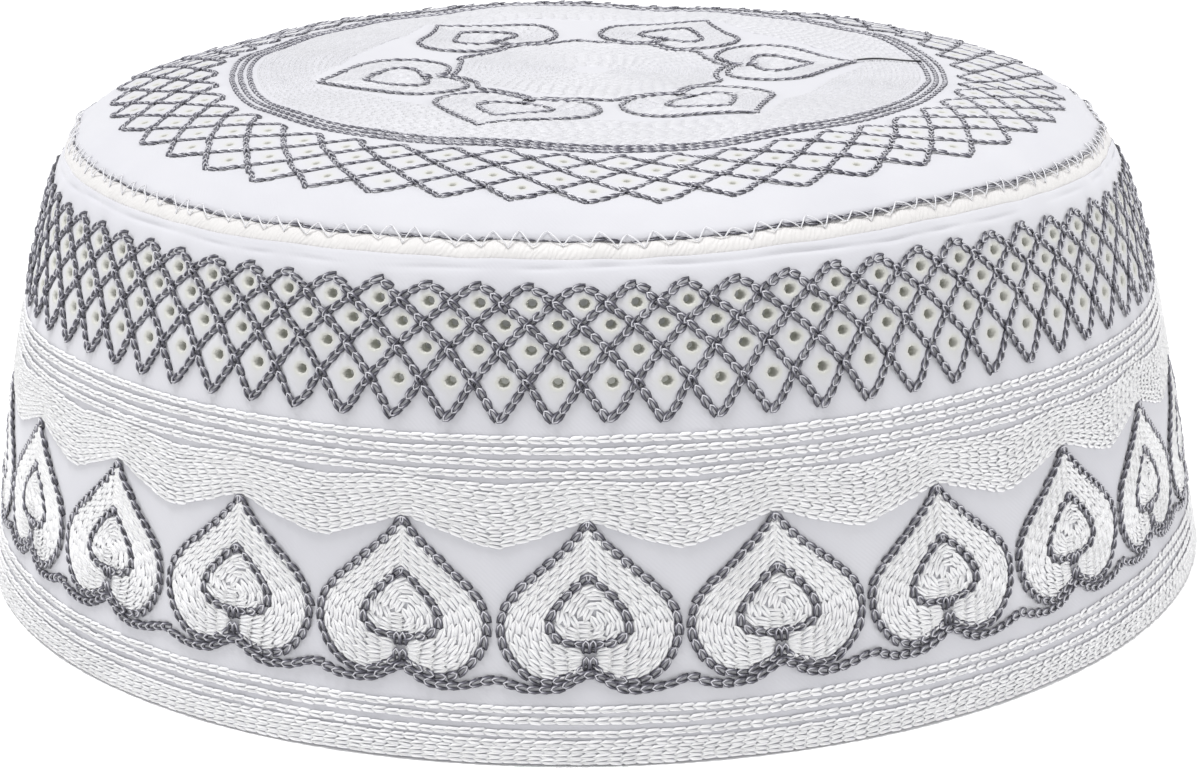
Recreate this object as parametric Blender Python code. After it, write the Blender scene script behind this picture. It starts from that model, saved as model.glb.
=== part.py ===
"""Kufi cap: a tapered side band, a low domed crown and the overcast seam that joins them.

Metres, +Z up. The origin is the middle of the rim, on the surface that the cap rests on.
The front of the cap faces -Y, and angles run from the front towards +X.
"""
import math
from collections import namedtuple

import bmesh
import bpy
from mathutils import Vector
from mathutils.geometry import interpolate_bezier

MM = 0.001

# Driving sizes
HEAD_SIZE = 581.0 * MM                  # round the inside of the rim, a 58 cm cap
WALL = 2.0 * MM                         # two layers of cotton with the embroidery through them
GAP = 0.3 * MM                          # left between pieces that meet
COLUMNS = 80                            # columns of the side lattice, and facets round the cap

RIM_RADIUS = HEAD_SIZE / (2 * math.pi) + WALL
COLUMN_TURN = 2 * math.pi / COLUMNS

# The outer face from the rim to the middle of the crown: how far inside the rim, and how high
Section = namedtuple("Section", "place inset height")
PROFILE = (
    Section("rim", 0.0 * MM, 0.0 * MM),
    Section("edge rows", 1.8 * MM, 9.5 * MM),
    Section("heart lobes", 3.4 * MM, 18.9 * MM),
    Section("heart tips", 5.4 * MM, 29.8 * MM),
    Section("lattice foot", 8.2 * MM, 42.6 * MM),
    Section("lattice top", 13.3 * MM, 60.5 * MM),
    Section("shoulder", 16.8 * MM, 65.3 * MM),
    Section("crown edge", 18.8 * MM, 66.7 * MM),
    Section("crown lattice", 22.5 * MM, 68.6 * MM),
    Section("dark ring", 40.4 * MM, 71.0 * MM),
    Section("crown hearts", 66.5 * MM, 71.6 * MM),
    Section("middle", RIM_RADIUS, 71.8 * MM),
)
STEPS_IN_A_SPAN = 24

# Distances along the outer face, from the rim
BAND_TOP = 64.9 * MM
SEAM_WIDTH = 2.7 * MM
SEAM_PROUD = 0.5 * MM
SEAM_SIDES = 8
CROWN_EDGE = BAND_TOP + SEAM_WIDTH + 2 * GAP

# The lowest row of eyelets, cut through the band, one in each column
EYELET_ROW = 48.2 * MM
EYELET_CELL = 4.4 * MM
EYELET_WIDTH = 1.6 * MM
EYELET_SIDES = 8
FIRST_EYELET = math.radians(-2.9)

# Where the band and the crown have a ring of corners
BAND_LEVELS = (
    0.0 * MM,
    9.6 * MM,
    19.2 * MM,
    30.2 * MM,
    38.0 * MM,
    EYELET_ROW - EYELET_CELL / 2,
    EYELET_ROW + EYELET_CELL / 2,
    56.0 * MM,
    60.8 * MM,
    BAND_TOP,
)
CROWN_LEVELS = (CROWN_EDGE, 74.0 * MM, 82.0 * MM, 92.7 * MM, 119.0 * MM)

Finish = namedtuple("Finish", "name colour roughness")
COTTON = Finish("white_cotton", (0.87, 0.87, 0.90, 1.0), 0.85)
OVERCAST = Finish("cream_overcast_thread", (0.93, 0.88, 0.82, 1.0), 0.70)


class Face:
    """The outer face's line, measured along its own length from the rim."""

    def __init__(self, sections):
        knots = [Vector((RIM_RADIUS - row.inset, row.height, 0.0)) for row in sections]
        self.points = []
        for index in range(len(knots) - 1):
            here, there = knots[index], knots[index + 1]
            before = knots[max(index - 1, 0)]
            after = knots[min(index + 2, len(knots) - 1)]
            reach = (there - here).length / 3
            leave = here + (there - before).normalized() * reach
            arrive = there - (after - here).normalized() * reach
            span = interpolate_bezier(here, leave, arrive, there, STEPS_IN_A_SPAN)
            self.points += span if index == 0 else span[1:]
        self.marks = [0.0]
        for a, b in zip(self.points, self.points[1:]):
            self.marks.append(self.marks[-1] + (b - a).length)
        self.length = self.marks[-1]

    def at(self, distance, depth=0.0):
        """Radius and height at a distance along the line, a depth into the cloth."""
        index = max(i for i, mark in enumerate(self.marks[:-1]) if mark <= distance)
        a, b = self.points[index], self.points[index + 1]
        share = (distance - self.marks[index]) / (self.marks[index + 1] - self.marks[index])
        point = a.lerp(b, share)
        along = (b - a).normalized()
        return point.x - along.y * depth, point.y + along.x * depth


FACE = Face(PROFILE)


def ring(bm, radius, height):
    """One ring of corners round the cap, with an eyelet's column between each two."""
    start = FIRST_EYELET - COLUMN_TURN / 2
    turns = [start + COLUMN_TURN * column for column in range(COLUMNS)]
    return [bm.verts.new((radius * math.sin(t), -radius * math.cos(t), height)) for t in turns]


def strip(bm, lower, upper):
    """A strip of faces between two rings."""
    for column in range(COLUMNS):
        after = (column + 1) % COLUMNS
        bm.faces.new((lower[column], lower[after], upper[after], upper[column]))


def eyelet_edge(bm, corners):
    """The corners of one eyelet in the middle of a cell with four corners."""
    lower_left, lower_right, upper_right, upper_left = [corner.co for corner in corners]
    across = EYELET_WIDTH / 2 / (lower_right - lower_left).length
    upward = EYELET_WIDTH / 2 / (upper_left - lower_left).length
    edge = []
    for side in range(EYELET_SIDES):
        turn = 2 * math.pi * (side - 2.5) / EYELET_SIDES
        share_across = 0.5 + across * math.cos(turn)
        share_up = 0.5 + upward * math.sin(turn)
        low = lower_left.lerp(lower_right, share_across)
        high = upper_left.lerp(upper_right, share_across)
        edge.append(bm.verts.new(low.lerp(high, share_up)))
    return edge


def frame_eyelet(bm, corners, edge):
    """The cloth between a cell's four corners and its eyelet: a quad a side, a triangle a corner."""
    for side in range(4):
        here, there = corners[side], corners[(side + 1) % 4]
        first, second, third = (edge[(2 * side + step) % EYELET_SIDES] for step in range(3))
        bm.faces.new((here, there, second, first))
        bm.faces.new((there, third, second))


def pierced_strip(bm, outer_rings, inner_rings):
    """The strip of the band that holds a row of eyelets, with the walls of the eyelets."""
    for column in range(COLUMNS):
        after = (column + 1) % COLUMNS
        edges = []
        for lower, upper in (outer_rings, inner_rings):
            corners = (lower[column], lower[after], upper[after], upper[column])
            edge = eyelet_edge(bm, corners)
            frame_eyelet(bm, corners, edge)
            edges.append(edge)
        outer, inner = edges
        for side in range(EYELET_SIDES):
            turned = (side + 1) % EYELET_SIDES
            bm.faces.new((outer[side], outer[turned], inner[turned], inner[side]))


def finish_piece(name, bm, finish):
    """Turns a closed bmesh into a named object with its material."""
    bmesh.ops.recalc_face_normals(bm, faces=bm.faces)
    mesh = bpy.data.meshes.new(name)
    bm.to_mesh(mesh)
    bm.free()
    mesh.shade_smooth()
    mesh.set_sharp_from_angle(angle=math.radians(35))
    material = bpy.data.materials.new(finish.name)
    material.use_nodes = True
    shader = material.node_tree.nodes["Principled BSDF"]
    shader.inputs["Base Color"].default_value = finish.colour
    shader.inputs["Roughness"].default_value = finish.roughness
    shader.inputs["Metallic"].default_value = 0.0
    mesh.materials.append(material)
    piece = bpy.data.objects.new(name, mesh)
    bpy.context.scene.collection.objects.link(piece)
    return piece


def make_side_band():
    """The band from its flat rim up to the shoulder, open above and below."""
    bm = bmesh.new()
    outer = []
    inner = []
    for level in BAND_LEVELS:
        outer.append(ring(bm, *FACE.at(level)))
        radius, height = FACE.at(level, WALL)
        inner.append(ring(bm, radius, max(height, 0.0)))
    pierced = BAND_LEVELS.index(EYELET_ROW - EYELET_CELL / 2)
    for level in range(len(BAND_LEVELS) - 1):
        if level == pierced:
            pierced_strip(bm, outer[level:level + 2], inner[level:level + 2])
        else:
            strip(bm, outer[level], outer[level + 1])
            strip(bm, inner[level], inner[level + 1])
    strip(bm, inner[0], outer[0])
    strip(bm, outer[-1], inner[-1])
    return finish_piece("side_band", bm, COTTON)


def make_crown():
    """The round top panel, a shallow dome of the same wall."""
    bm = bmesh.new()
    skins = []
    for depth in (0.0, WALL):
        rings = [ring(bm, *FACE.at(level, depth)) for level in CROWN_LEVELS]
        for lower, upper in zip(rings, rings[1:]):
            strip(bm, lower, upper)
        middle = bm.verts.new((0.0, 0.0, PROFILE[-1].height - depth))
        for column in range(COLUMNS):
            bm.faces.new((rings[-1][column], rings[-1][(column + 1) % COLUMNS], middle))
        skins.append(rings)
    strip(bm, skins[0][0], skins[1][0])
    return finish_piece("crown", bm, COTTON)


def make_crown_seam():
    """The welt of overcast thread that closes the joint between the band and the crown."""
    bm = bmesh.new()
    middle = BAND_TOP + GAP + SEAM_WIDTH / 2
    half_depth = (WALL + SEAM_PROUD) / 2
    rings = []
    for side in range(SEAM_SIDES):
        turn = 2 * math.pi * (side + 0.5) / SEAM_SIDES
        distance = middle + SEAM_WIDTH / 2 * math.cos(turn)
        depth = WALL - half_depth - half_depth * math.sin(turn)
        rings.append(ring(bm, *FACE.at(distance, depth)))
    for side in range(SEAM_SIDES):
        strip(bm, rings[side], rings[(side + 1) % SEAM_SIDES])
    return finish_piece("crown_seam", bm, OVERCAST)


def main():
    for old in list(bpy.data.objects):
        bpy.data.objects.remove(old, do_unlink=True)
    make_side_band()
    make_crown()
    make_crown_seam()


main()
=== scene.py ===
"""The looks of a white kufi cap: twill cotton, chain-stitched by machine in white and blue-grey thread.

Everything is in metres, apart from names that end in _mm and tables that say millimetres. The cap's front
faces -Y. A turn is an angle from the front towards +X. A distance is measured along the outer face, from the
rim up the band, over the shoulder and on to the middle of the crown. A lift is a height off the outer face.
"""

import math
from collections import namedtuple

import bmesh
import bpy
import numpy as np
from mathutils import Matrix, Vector


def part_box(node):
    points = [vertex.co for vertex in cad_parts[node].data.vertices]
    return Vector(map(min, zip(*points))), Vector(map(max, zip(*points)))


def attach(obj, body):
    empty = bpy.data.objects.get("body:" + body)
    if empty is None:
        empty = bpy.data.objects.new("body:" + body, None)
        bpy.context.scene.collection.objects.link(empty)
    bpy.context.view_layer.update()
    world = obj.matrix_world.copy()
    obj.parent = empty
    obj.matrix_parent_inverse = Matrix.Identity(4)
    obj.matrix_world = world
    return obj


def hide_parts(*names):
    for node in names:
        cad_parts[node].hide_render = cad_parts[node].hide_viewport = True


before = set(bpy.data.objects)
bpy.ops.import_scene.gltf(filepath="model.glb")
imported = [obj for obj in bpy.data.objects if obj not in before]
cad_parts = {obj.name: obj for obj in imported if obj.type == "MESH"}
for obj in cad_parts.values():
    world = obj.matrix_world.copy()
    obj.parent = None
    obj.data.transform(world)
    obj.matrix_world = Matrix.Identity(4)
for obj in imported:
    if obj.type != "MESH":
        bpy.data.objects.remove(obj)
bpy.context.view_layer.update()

MM = 0.001
FULL_TURN = 2 * math.pi
RIM_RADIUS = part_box("side_band")[1].x
CROWN_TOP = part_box("crown")[1].z
WALL = 2.0 * MM
SEED = 7

# The outer face in millimetres, as the solids have it: how far inside the rim, and how high
Section = namedtuple("Section", "place inset height")
PROFILE = (
    Section("rim", 0.0, 0.0),
    Section("edge rows", 1.8, 9.5),
    Section("heart lobes", 3.4, 18.9),
    Section("heart tips", 5.4, 29.8),
    Section("lattice foot", 8.2, 42.6),
    Section("lattice top", 13.3, 60.5),
    Section("shoulder", 16.8, 65.3),
    Section("crown edge", 18.8, 66.7),
    Section("crown lattice", 22.5, 68.6),
    Section("dark ring", 40.4, 71.0),
    Section("crown hearts", 66.5, 71.6),
    Section("middle", RIM_RADIUS / MM, CROWN_TOP / MM),
)
STEPS_IN_A_SPAN = 24
BAND_TOP = 64.9 * MM
CROWN_EDGE = 68.2 * MM

# Soft cloth is never quite true: waves round the cap, how fast they lean, their size and where they start
Wave = namedtuple("Wave", "count lean size start")
SLACK = (
    Wave(5, 30.0, 0.30 * MM, 0.4),
    Wave(9, -55.0, 0.18 * MM, 2.1),
    Wave(17, 80.0, 0.10 * MM, 4.0),
)
PUCKERS = (
    Wave(61, 0.0, 0.16 * MM, 0.0),
    Wave(37, 0.0, 0.20 * MM, 1.3),
)
PUCKER_DRIFT = Wave(7, 0.0, 2.0, 0.0)
PUCKER_REACH = 3.2 * MM
RIM_CALM = 10 * MM                      # how far up from the rim the waves are full
MIDDLE_CALM = (4 * MM, 48 * MM)         # radii between which they set in around the crown's middle
SEAM_AT = 67.4 * MM
CREASE_AT = 64.1 * MM
CREASE_WANDER = (Wave(6, 0.0, 0.35 * MM, 1.0), Wave(23, 0.0, 0.12 * MM, 0.0))
CREASE_DEPTH = 0.30 * MM
CREASE_FADE = (0.60, 0.30, 0.35)        # the crease's mean depth as a share, and how its two swells change it
CREASE_WIDTH = 0.33 * MM
# The soft crown sags towards its edge and stands highest at the back and on the left
BEND_FROM = 42.5 * MM                   # heights between which the bend sets in
BEND_TO = 66.0 * MM
RAISE = 0.45 * MM
TILT_RIGHT = -2.16 * MM
TILT_BACK = 3.48 * MM
SAG = 3.84 * MM
SHIFT_RIGHT = 0.56 * MM                 # how far the crown's middle lies off the cap's
SHIFT_BACK = -1.84 * MM
DIP = 1.4 * MM                          # how far the crown's middle sinks, and how wide the hollow is
DIP_REACH = 34 * MM
RISE = 2.1 * MM                         # how much higher the seam stands at the right of the front, and where
RISE_AT = math.radians(35)
RISE_SPREAD = 0.06
SIDE_FLAT = 0.008                       # how much flatter than round the band is at its two sides
FLAT_FROM = (0 * MM, 12 * MM)           # heights between which that sets in, and ends again
FLAT_TO = (60 * MM, 67 * MM)
FLAT_SHARPNESS = 8


def lengths_along(points):
    """How far along a line each of its points lies."""
    return np.r_[0, np.cumsum(np.linalg.norm(np.diff(points, axis=0), axis=1))]


def read_at(wanted, marks, rows):
    """The rows of numbers that belong to some lengths along a line whose points lie at the marks."""
    return np.column_stack([np.interp(wanted, marks, column) for column in rows.T])


def face_line(sections):
    """Distances, radii and heights along a smooth curve through the sections, with its outward direction."""
    knots = [np.array((RIM_RADIUS - row.inset * MM, row.height * MM)) for row in sections]
    points = [knots[0]]
    share = np.linspace(0, 1, STEPS_IN_A_SPAN + 1)[1:, None]
    for index in range(len(knots) - 1):
        here, there = knots[index], knots[index + 1]
        leave = there - knots[max(index - 1, 0)]
        arrive = knots[min(index + 2, len(knots) - 1)] - here
        reach = np.linalg.norm(there - here) / 3
        first = here + leave / np.linalg.norm(leave) * reach
        second = there - arrive / np.linalg.norm(arrive) * reach
        points.extend(
            (1 - share) ** 3 * here + 3 * (1 - share) ** 2 * share * first
            + 3 * (1 - share) * share ** 2 * second + share ** 3 * there
        )
    points = np.array(points)
    marks = lengths_along(points)
    along = np.gradient(points, marks, axis=0)
    along /= np.linalg.norm(along, axis=1)[:, None]
    return marks, points, np.column_stack((along[:, 1], -along[:, 0]))


MARKS, FACE, FACE_OUT = face_line(PROFILE)


def radius_at(distance):
    return np.interp(distance, MARKS, FACE[:, 0])


def distance_at(radius):
    """The distance at which the face has a radius, which shrinks all the way up and in."""
    return np.interp(-np.asarray(radius), -FACE[:, 0], MARKS)


def eased(value, low, high):
    """0 below low, 1 above high, and a smooth rise between."""
    share = np.clip((value - low) / (high - low), 0, 1)
    return share * share * (3 - 2 * share)


def waves(rows, turn, distance=0.0, drift=0.0):
    """The sum of some waves at each turn and distance."""
    return sum(w.size * np.sin(w.count * turn + w.lean * distance + drift + w.start) for w in rows)


def slack(turn, distance):
    """How far the soft cloth stands off its true shape."""
    off = waves(SLACK, turn, distance)
    # The waves die out at the rim, that lies flat, and in the middle, where they would crowd together
    off = off * eased(distance, 0, RIM_CALM) * eased(radius_at(distance), *MIDDLE_CALM)
    near = np.exp(-((distance - SEAM_AT) / PUCKER_REACH) ** 2)
    off = off + near * waves(PUCKERS, turn, drift=waves([PUCKER_DRIFT], turn))
    wander = CREASE_AT + waves(CREASE_WANDER, turn)
    mean, slow, quick = CREASE_FADE
    fade = mean + slow * np.sin(5 * turn) + quick * np.sin(43 * turn + 2 * np.sin(11 * turn))
    return off - fade * CREASE_DEPTH * np.exp(-((distance - wander) / CREASE_WIDTH) ** 2)


def place(turn, distance, lift=0.0):
    """Points in space for turns, distances and lifts."""
    turn = np.asarray(turn, float)
    distance = np.asarray(distance, float)
    lift = np.asarray(lift, float) + slack(turn, distance)
    radius = radius_at(distance) + lift * np.interp(distance, MARKS, FACE_OUT[:, 0])
    height = np.interp(distance, MARKS, FACE[:, 1]) + lift * np.interp(distance, MARKS, FACE_OUT[:, 1])
    upright = eased(height, *FLAT_FROM) * (1 - eased(height, *FLAT_TO))
    flat = SIDE_FLAT * np.sin(turn) ** FLAT_SHARPNESS * upright
    x = radius * np.sin(turn) * (1 - flat)
    y = -radius * np.cos(turn)
    share = eased(height, BEND_FROM, BEND_TO)
    wide = (x * x + y * y) / RIM_RADIUS ** 2
    tilt = (TILT_RIGHT * x + TILT_BACK * y) / RIM_RADIUS * (1 - wide)
    dip = DIP * np.exp(-(x * x + y * y) / DIP_REACH ** 2)
    rise = RISE * wide * np.exp((np.cos(turn - RISE_AT) - 1) / RISE_SPREAD)
    height = np.maximum(height + share * (RAISE + tilt + rise - SAG * wide ** 2 - dip), 0.0)
    within = share * np.clip(1 - wide / (radius_at(SEAM_AT) / RIM_RADIUS) ** 2, 0, 1)
    return np.stack((x + within * SHIFT_RIGHT, y + within * SHIFT_BACK, height), axis=-1)


def outward(turn, distance):
    """The direction that faces out of the cloth at each turn and distance."""
    step = 0.05 * MM
    distance = np.clip(distance, step, MARKS[-1] - 2 * MM)
    across = place(turn + 0.001, distance) - place(turn - 0.001, distance)
    upward = place(turn, distance + step) - place(turn, distance - step)
    out = np.cross(across, upward)
    return out / np.linalg.norm(out, axis=-1)[..., None]


# The stitched lines. A line holds rows of turn, distance and lift, and says if it closes on itself.
Line = namedtuple("Line", "points closed")

HEARTS = 24
HEART_TURN = FULL_TURN / HEARTS
FIRST_HEART = math.radians(-0.6)

# Half a heart in millimetres, from its tip down to its notch: across from the middle, and up from the rim
Knot = namedtuple("Knot", "across up")
HEART = (
    Knot(0.0, 30.6), Knot(1.6, 28.7), Knot(3.7, 26.7), Knot(6.2, 24.5), Knot(8.6, 22.4), Knot(10.3, 20.3),
    Knot(10.95, 18.0), Knot(10.8, 15.9), Knot(9.8, 13.7), Knot(8.1, 11.9), Knot(5.8, 11.0), Knot(3.6, 11.3),
    Knot(1.6, 12.2), Knot(0.0, 12.9),
)
INNER_HEART = (
    Knot(0.0, 24.2), Knot(1.8, 22.7), Knot(3.5, 20.9), Knot(4.7, 19.2), Knot(4.9, 17.8), Knot(4.2, 16.6),
    Knot(2.9, 16.0), Knot(1.4, 15.8), Knot(0.0, 15.9),
)
# The wavy line under the hearts, from below a heart's notch to the cusp between two hearts
GARLAND = (
    Knot(0.0, 12.0), Knot(1.2, 11.4), Knot(2.6, 10.6), Knot(4.2, 10.0), Knot(6.0, 9.85), Knot(7.8, 9.95),
    Knot(9.4, 10.25), Knot(10.8, 10.7), Knot(11.85, 11.0),
)
STEM_HALF = 0.42
STEM_TOP = 15.9
STEM_FOOT = 12.3
STEM_CLEAR = 0.6                        # how far above the stem's top the white rows still keep off it
STEM_BESIDE = 2 * STEM_HALF + 0.25      # and how far to its side
STEM_LIFT = 0.10 * MM
HEART_MIDDLE = 19.4
HEART_LOBES = 11.0                      # how far up a heart's lobes begin
INNER_MIDDLE = 18.6
FILL_ROWS = (0.155, 0.835, 6)           # the white rows' first and last share of the way in, and their number
INNER_SCALES = (0.76, 0.55, 0.34, 0.13)  # the rows inside the inner heart

ROW_STEP = 0.9 * MM                     # how far apart the points of a row lie
EDGE_ROWS_MM = (0.7, 1.3, 2.1, 2.95, 4.2, 5.8, 7.2)
PLAIN_ROWS_MM = (36.8, 38.2, 39.7, 41.1)
SCALLOP_ROWS = 9
SCALLOP_POINTS = 720
SCALLOP_FOOT_MM = (31.4, 28.0)          # the field's lower edge over a heart's tip, and between two hearts
SCALLOP_HEAD_MM = (35.8, 35.0)

# A lattice: its columns, the turn of its first low tip, its crossings from tip to tip, how round its high
# tips are, and how wide its eyelets are against the side band's
Lattice = namedtuple("Lattice", "columns first levels_mm round_tip hole")
SIDE_LATTICE = Lattice(80, math.radians(-3.17), (42.9, 48.4, 52.9, 56.5, 59.5, 62.2), 0.36, 1.0)
CROWN_LATTICE_RADII_MM = (72.2, 68.7, 65.4, 62.2, 59.1, 56.1)
EYELET_ASIDE = 0.5 * MM
EYELET_RADIUS = 0.75 * MM

# The crown's six hearts: where each tip points in degrees, and how far out its lobes begin
CrownHeart = namedtuple("CrownHeart", "turn lobes_mm")
CROWN_HEARTS = (
    CrownHeart(-20.5, 23.0), CrownHeart(33.0, 21.3), CrownHeart(95.5, 20.3),
    CrownHeart(151.0, 19.6), CrownHeart(218.0, 19.6), CrownHeart(286.5, 20.9),
)
CROWN_HEART_SCALE = 1.07
SUNK = 0.17 * MM                        # how deep the crown's tighter rows draw into the cloth
OVER_ROWS = 0.20 * MM
DARK_RING_MM = (54.0, 52.7, 51.4)
CROWN_ROWS_MM = tuple(49.9 - 0.86 * row for row in range(9))
CROWN_LOBES = 5                         # short rows between two hearts, each shorter than the last
LOBE_END = math.radians(3.5)            # how far short of a heart's tip the first one stops
LOBE_STEP = math.radians(2.4)           # and how much shorter each next one is
LOBE_PITCH = 0.95
LOBE_BOW = 1.2 * MM
MIDDLE_ROWS_MM = tuple(18.9 - 0.93 * row for row in range(18))


def random_for(name):
    """The same random numbers for a name at each run."""
    return np.random.default_rng(SEED + sum(ord(letter) * (i + 1) for i, letter in enumerate(name)))


def spline(knots, step=0.4):
    """Points on a smooth curve through the knots, as rows of across and up."""
    knots = np.array([(k[0], k[1]) for k in knots], float)
    before = np.vstack((2 * knots[0] - knots[1], knots[:-1]))
    after = np.vstack((knots[1:], 2 * knots[-1] - knots[-2]))
    tangents = (after - before) / 2
    points = [knots[:1]]
    for a, b, out_of, into in zip(knots, knots[1:], tangents, tangents[1:]):
        count = max(2, round(np.linalg.norm(b - a) / step))
        t = np.linspace(0, 1, count + 1)[1:, None]
        points.append(
            (2 * t ** 3 - 3 * t ** 2 + 1) * a + (t ** 3 - 2 * t ** 2 + t) * out_of
            + (3 * t ** 2 - 2 * t ** 3) * b + (t ** 3 - t ** 2) * into
        )
    return np.vstack(points)


def evenly(points, count):
    """The same line with evenly spaced points."""
    marks = lengths_along(points)
    return read_at(np.linspace(0, marks[-1], count), marks, points)


def both_halves(half):
    """From the notch up the left side to the tip and down the right side to the notch."""
    left = half[::-1] * (-1, 1)
    return np.vstack((left, half[1:]))


def on_band(points, centre, lift=0.0):
    """Rows of across and up in millimetres, laid on the band about a turn."""
    distance = points[:, 1] * MM
    turn = centre + points[:, 0] * MM / radius_at(distance)
    return np.column_stack((turn, distance, np.full(len(points), lift)))


def on_crown(points, heart, lift=0.0):
    """Rows of across and up in millimetres, laid on the crown with up pointing away from its middle."""
    radial = (heart.lobes_mm + (points[:, 1] - HEART_LOBES) * CROWN_HEART_SCALE) * MM
    across = points[:, 0] * CROWN_HEART_SCALE * MM
    turn = math.radians(heart.turn) + np.arctan2(across, radial)
    distance = distance_at(np.hypot(across, radial))
    return np.column_stack((turn, distance, np.full(len(points), lift - SUNK)))


def over_crown(points, heart, lift=0.0):
    """The same, but clear of the white rows."""
    return on_crown(points, heart, lift + OVER_ROWS)


def ring_row(distance, rng, wobble=0.10 * MM, lift=0.0):
    """A closed row of stitches all round, with a hand's small wobble."""
    count = max(24, round(FULL_TURN * radius_at(distance) / ROW_STEP))
    turn = np.arange(count) * FULL_TURN / count + rng.uniform(0, FULL_TURN)
    drift = sum(np.sin(n * turn + rng.uniform(0, 6.3)) for n in (7, 13, 23)) / 3
    return Line(np.column_stack((turn, distance + wobble * drift, np.full(count, lift))), True)


def seam_line(rng):
    """The dark row in the valley of the seam, that sinks almost out of sight at the front and on the left."""
    row = ring_row(SEAM_ROW_AT, rng, 0.20 * MM)
    turn = row.points[:, 0]
    bold = eased(np.cos(turn - SEAM_ROW_BOLDEST), *SEAM_ROW_EASE)
    lift = SEAM_ROW_SUNK + (SEAM_ROW_BOLD - SEAM_ROW_SUNK) * bold + waves(SEAM_ROW_DIPS, turn) * (1 - bold)
    return Line(np.column_stack((turn, row.points[:, 1], lift)), True)


OVER_LIFT = 0.30 * MM
WANDER = 0.10 * MM                      # how far the hand strays from the line
LOW_TIP_ROUND = 0.22                    # how much of a lattice's lowest level its low tips take to turn
LEVEL_POINTS = 12
CROSSING_WIDTH = 0.2                    # the share of a level in which a line climbs over another


def zigzag_lines(lattice, levels):
    """The lattice as it is sewn: from each low tip up to a high one and down again, over the rest."""
    high = len(levels) - 1
    half = FULL_TURN / lattice.columns / 2
    t = np.linspace(0, 2 * high, 2 * high * LEVEL_POINTS + 1)
    short = np.abs(t - high)
    rounded = (short ** 2 + lattice.round_tip ** 2) / (2 * lattice.round_tip)
    up = high - np.where(short < lattice.round_tip, rounded, short)
    up = np.where(up < LOW_TIP_ROUND, (up ** 2 + LOW_TIP_ROUND ** 2) / (2 * LOW_TIP_ROUND), up)
    crossing = np.exp(-((up - np.round(up)) / CROSSING_WIDTH) ** 2) * (up > 0.5) * (up < high - 0.5)
    lift = np.where(t > high, OVER_LIFT * crossing, 0.0)
    distance = np.interp(up, np.arange(high + 1), levels)
    lines = []
    for column in range(lattice.columns):
        wander = WANDER * (np.sin(4.1 * t + 2.3 * column) + 0.6 * np.sin(11 * t + 1.1 * column))
        turn = lattice.first + half * (t + 2 * column)
        lines.append(Line(np.column_stack((turn, distance + wander, lift)), False))
    return lines


def lattice_levels(lattice):
    return np.array(lattice.levels_mm) * MM


def crown_lattice():
    levels = distance_at(np.array(CROWN_LATTICE_RADII_MM) * MM) / MM
    return Lattice(48, math.radians(-0.1), tuple(levels), 0.20, 0.62)


CROWN_LATTICE = crown_lattice()


def heart_halves(rng):
    """One heart's outer and inner halves, a little different each time as the hand guides the machine."""
    stretch = 1 + rng.normal(0, 0.012, 2)
    outer = spline(HEART)
    inner = spline(INNER_HEART)
    middle = np.array((0, HEART_MIDDLE))
    return (outer - middle) * stretch + middle, (inner - middle) * stretch + middle


def heart_outlines(lay, centre, rng):
    """The dark lines of a heart: its outline, its inner heart, and the two strands of its stem."""
    lines = []
    for half in heart_halves(rng):
        for side in (-1, 1):
            lines.append(Line(lay(half * (side, 1), centre), False))
    for side in (-STEM_HALF, STEM_HALF):
        stem = evenly(np.array(((side, STEM_TOP), (side, STEM_FOOT))), 8)
        lines.append(Line(lay(stem, centre, STEM_LIFT), False))
    return lines


def heart_filling(lay, centre, rng):
    """The white rows of a heart: rows that follow its outline, and rows inside the inner heart."""
    outer, inner = heart_halves(rng)
    outer, inner = evenly(outer, 60), evenly(inner, 60)
    lines = []
    for share in np.linspace(*FILL_ROWS):
        row = outer * (1 - share) + inner * share
        row[:, 0] = np.where(row[:, 1] < STEM_TOP + STEM_CLEAR, np.maximum(row[:, 0], STEM_BESIDE), row[:, 0])
        for side in (-1, 1):
            lines.append(Line(lay(row * (side, 1), centre), False))
    middle = np.array((0, INNER_MIDDLE))
    for scale in INNER_SCALES:
        row = (both_halves(inner)[:-1] - middle) * scale + middle
        lines.append(Line(lay(row, centre), True))
    return lines


def garland_line():
    """The wavy line under the hearts of the band."""
    half = spline(GARLAND)
    one = np.vstack((half[::-1] * (-1, 1), half[1:]))[:-1]
    rows = [on_band(one, FIRST_HEART + HEART_TURN * heart) for heart in range(HEARTS)]
    return Line(np.vstack(rows), True)


def scallop_lines(rng):
    """The white field between the hearts and the plain rows, its rows kinked over each tip and each gap."""
    turn = np.arange(SCALLOP_POINTS) * FULL_TURN / SCALLOP_POINTS
    phase = ((turn - FIRST_HEART) / HEART_TURN + 0.5) % 1 - 0.5
    gap = np.abs(phase) * 2
    over_tip, between = SCALLOP_FOOT_MM
    foot = np.interp(gap, (0, 0.08, 0.9, 1), (over_tip, over_tip - 0.2, between + 0.1, between))
    head = np.interp(gap, (0, 1), SCALLOP_HEAD_MM)
    lines = []
    for share in np.linspace(0, 1, SCALLOP_ROWS):
        drift = sum(np.sin(n * turn + rng.uniform(0, 6.3)) for n in (11, 31, 47)) / 3 * 0.12
        distance = (foot * (1 - share) + head * share + drift) * MM
        row = np.column_stack((turn, distance, np.zeros(SCALLOP_POINTS)))
        lines.append(Line(np.roll(row, rng.integers(SCALLOP_POINTS), axis=0), True))
    return lines


def crown_gaps():
    """The middle and the half width of each gap between two hearts of the crown, as turns."""
    turns = [math.radians(heart.turn) for heart in CROWN_HEARTS]
    following = turns[1:] + [turns[0] + FULL_TURN]
    return [((a + b) / 2, (b - a) / 2) for a, b in zip(turns, following)]


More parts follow.
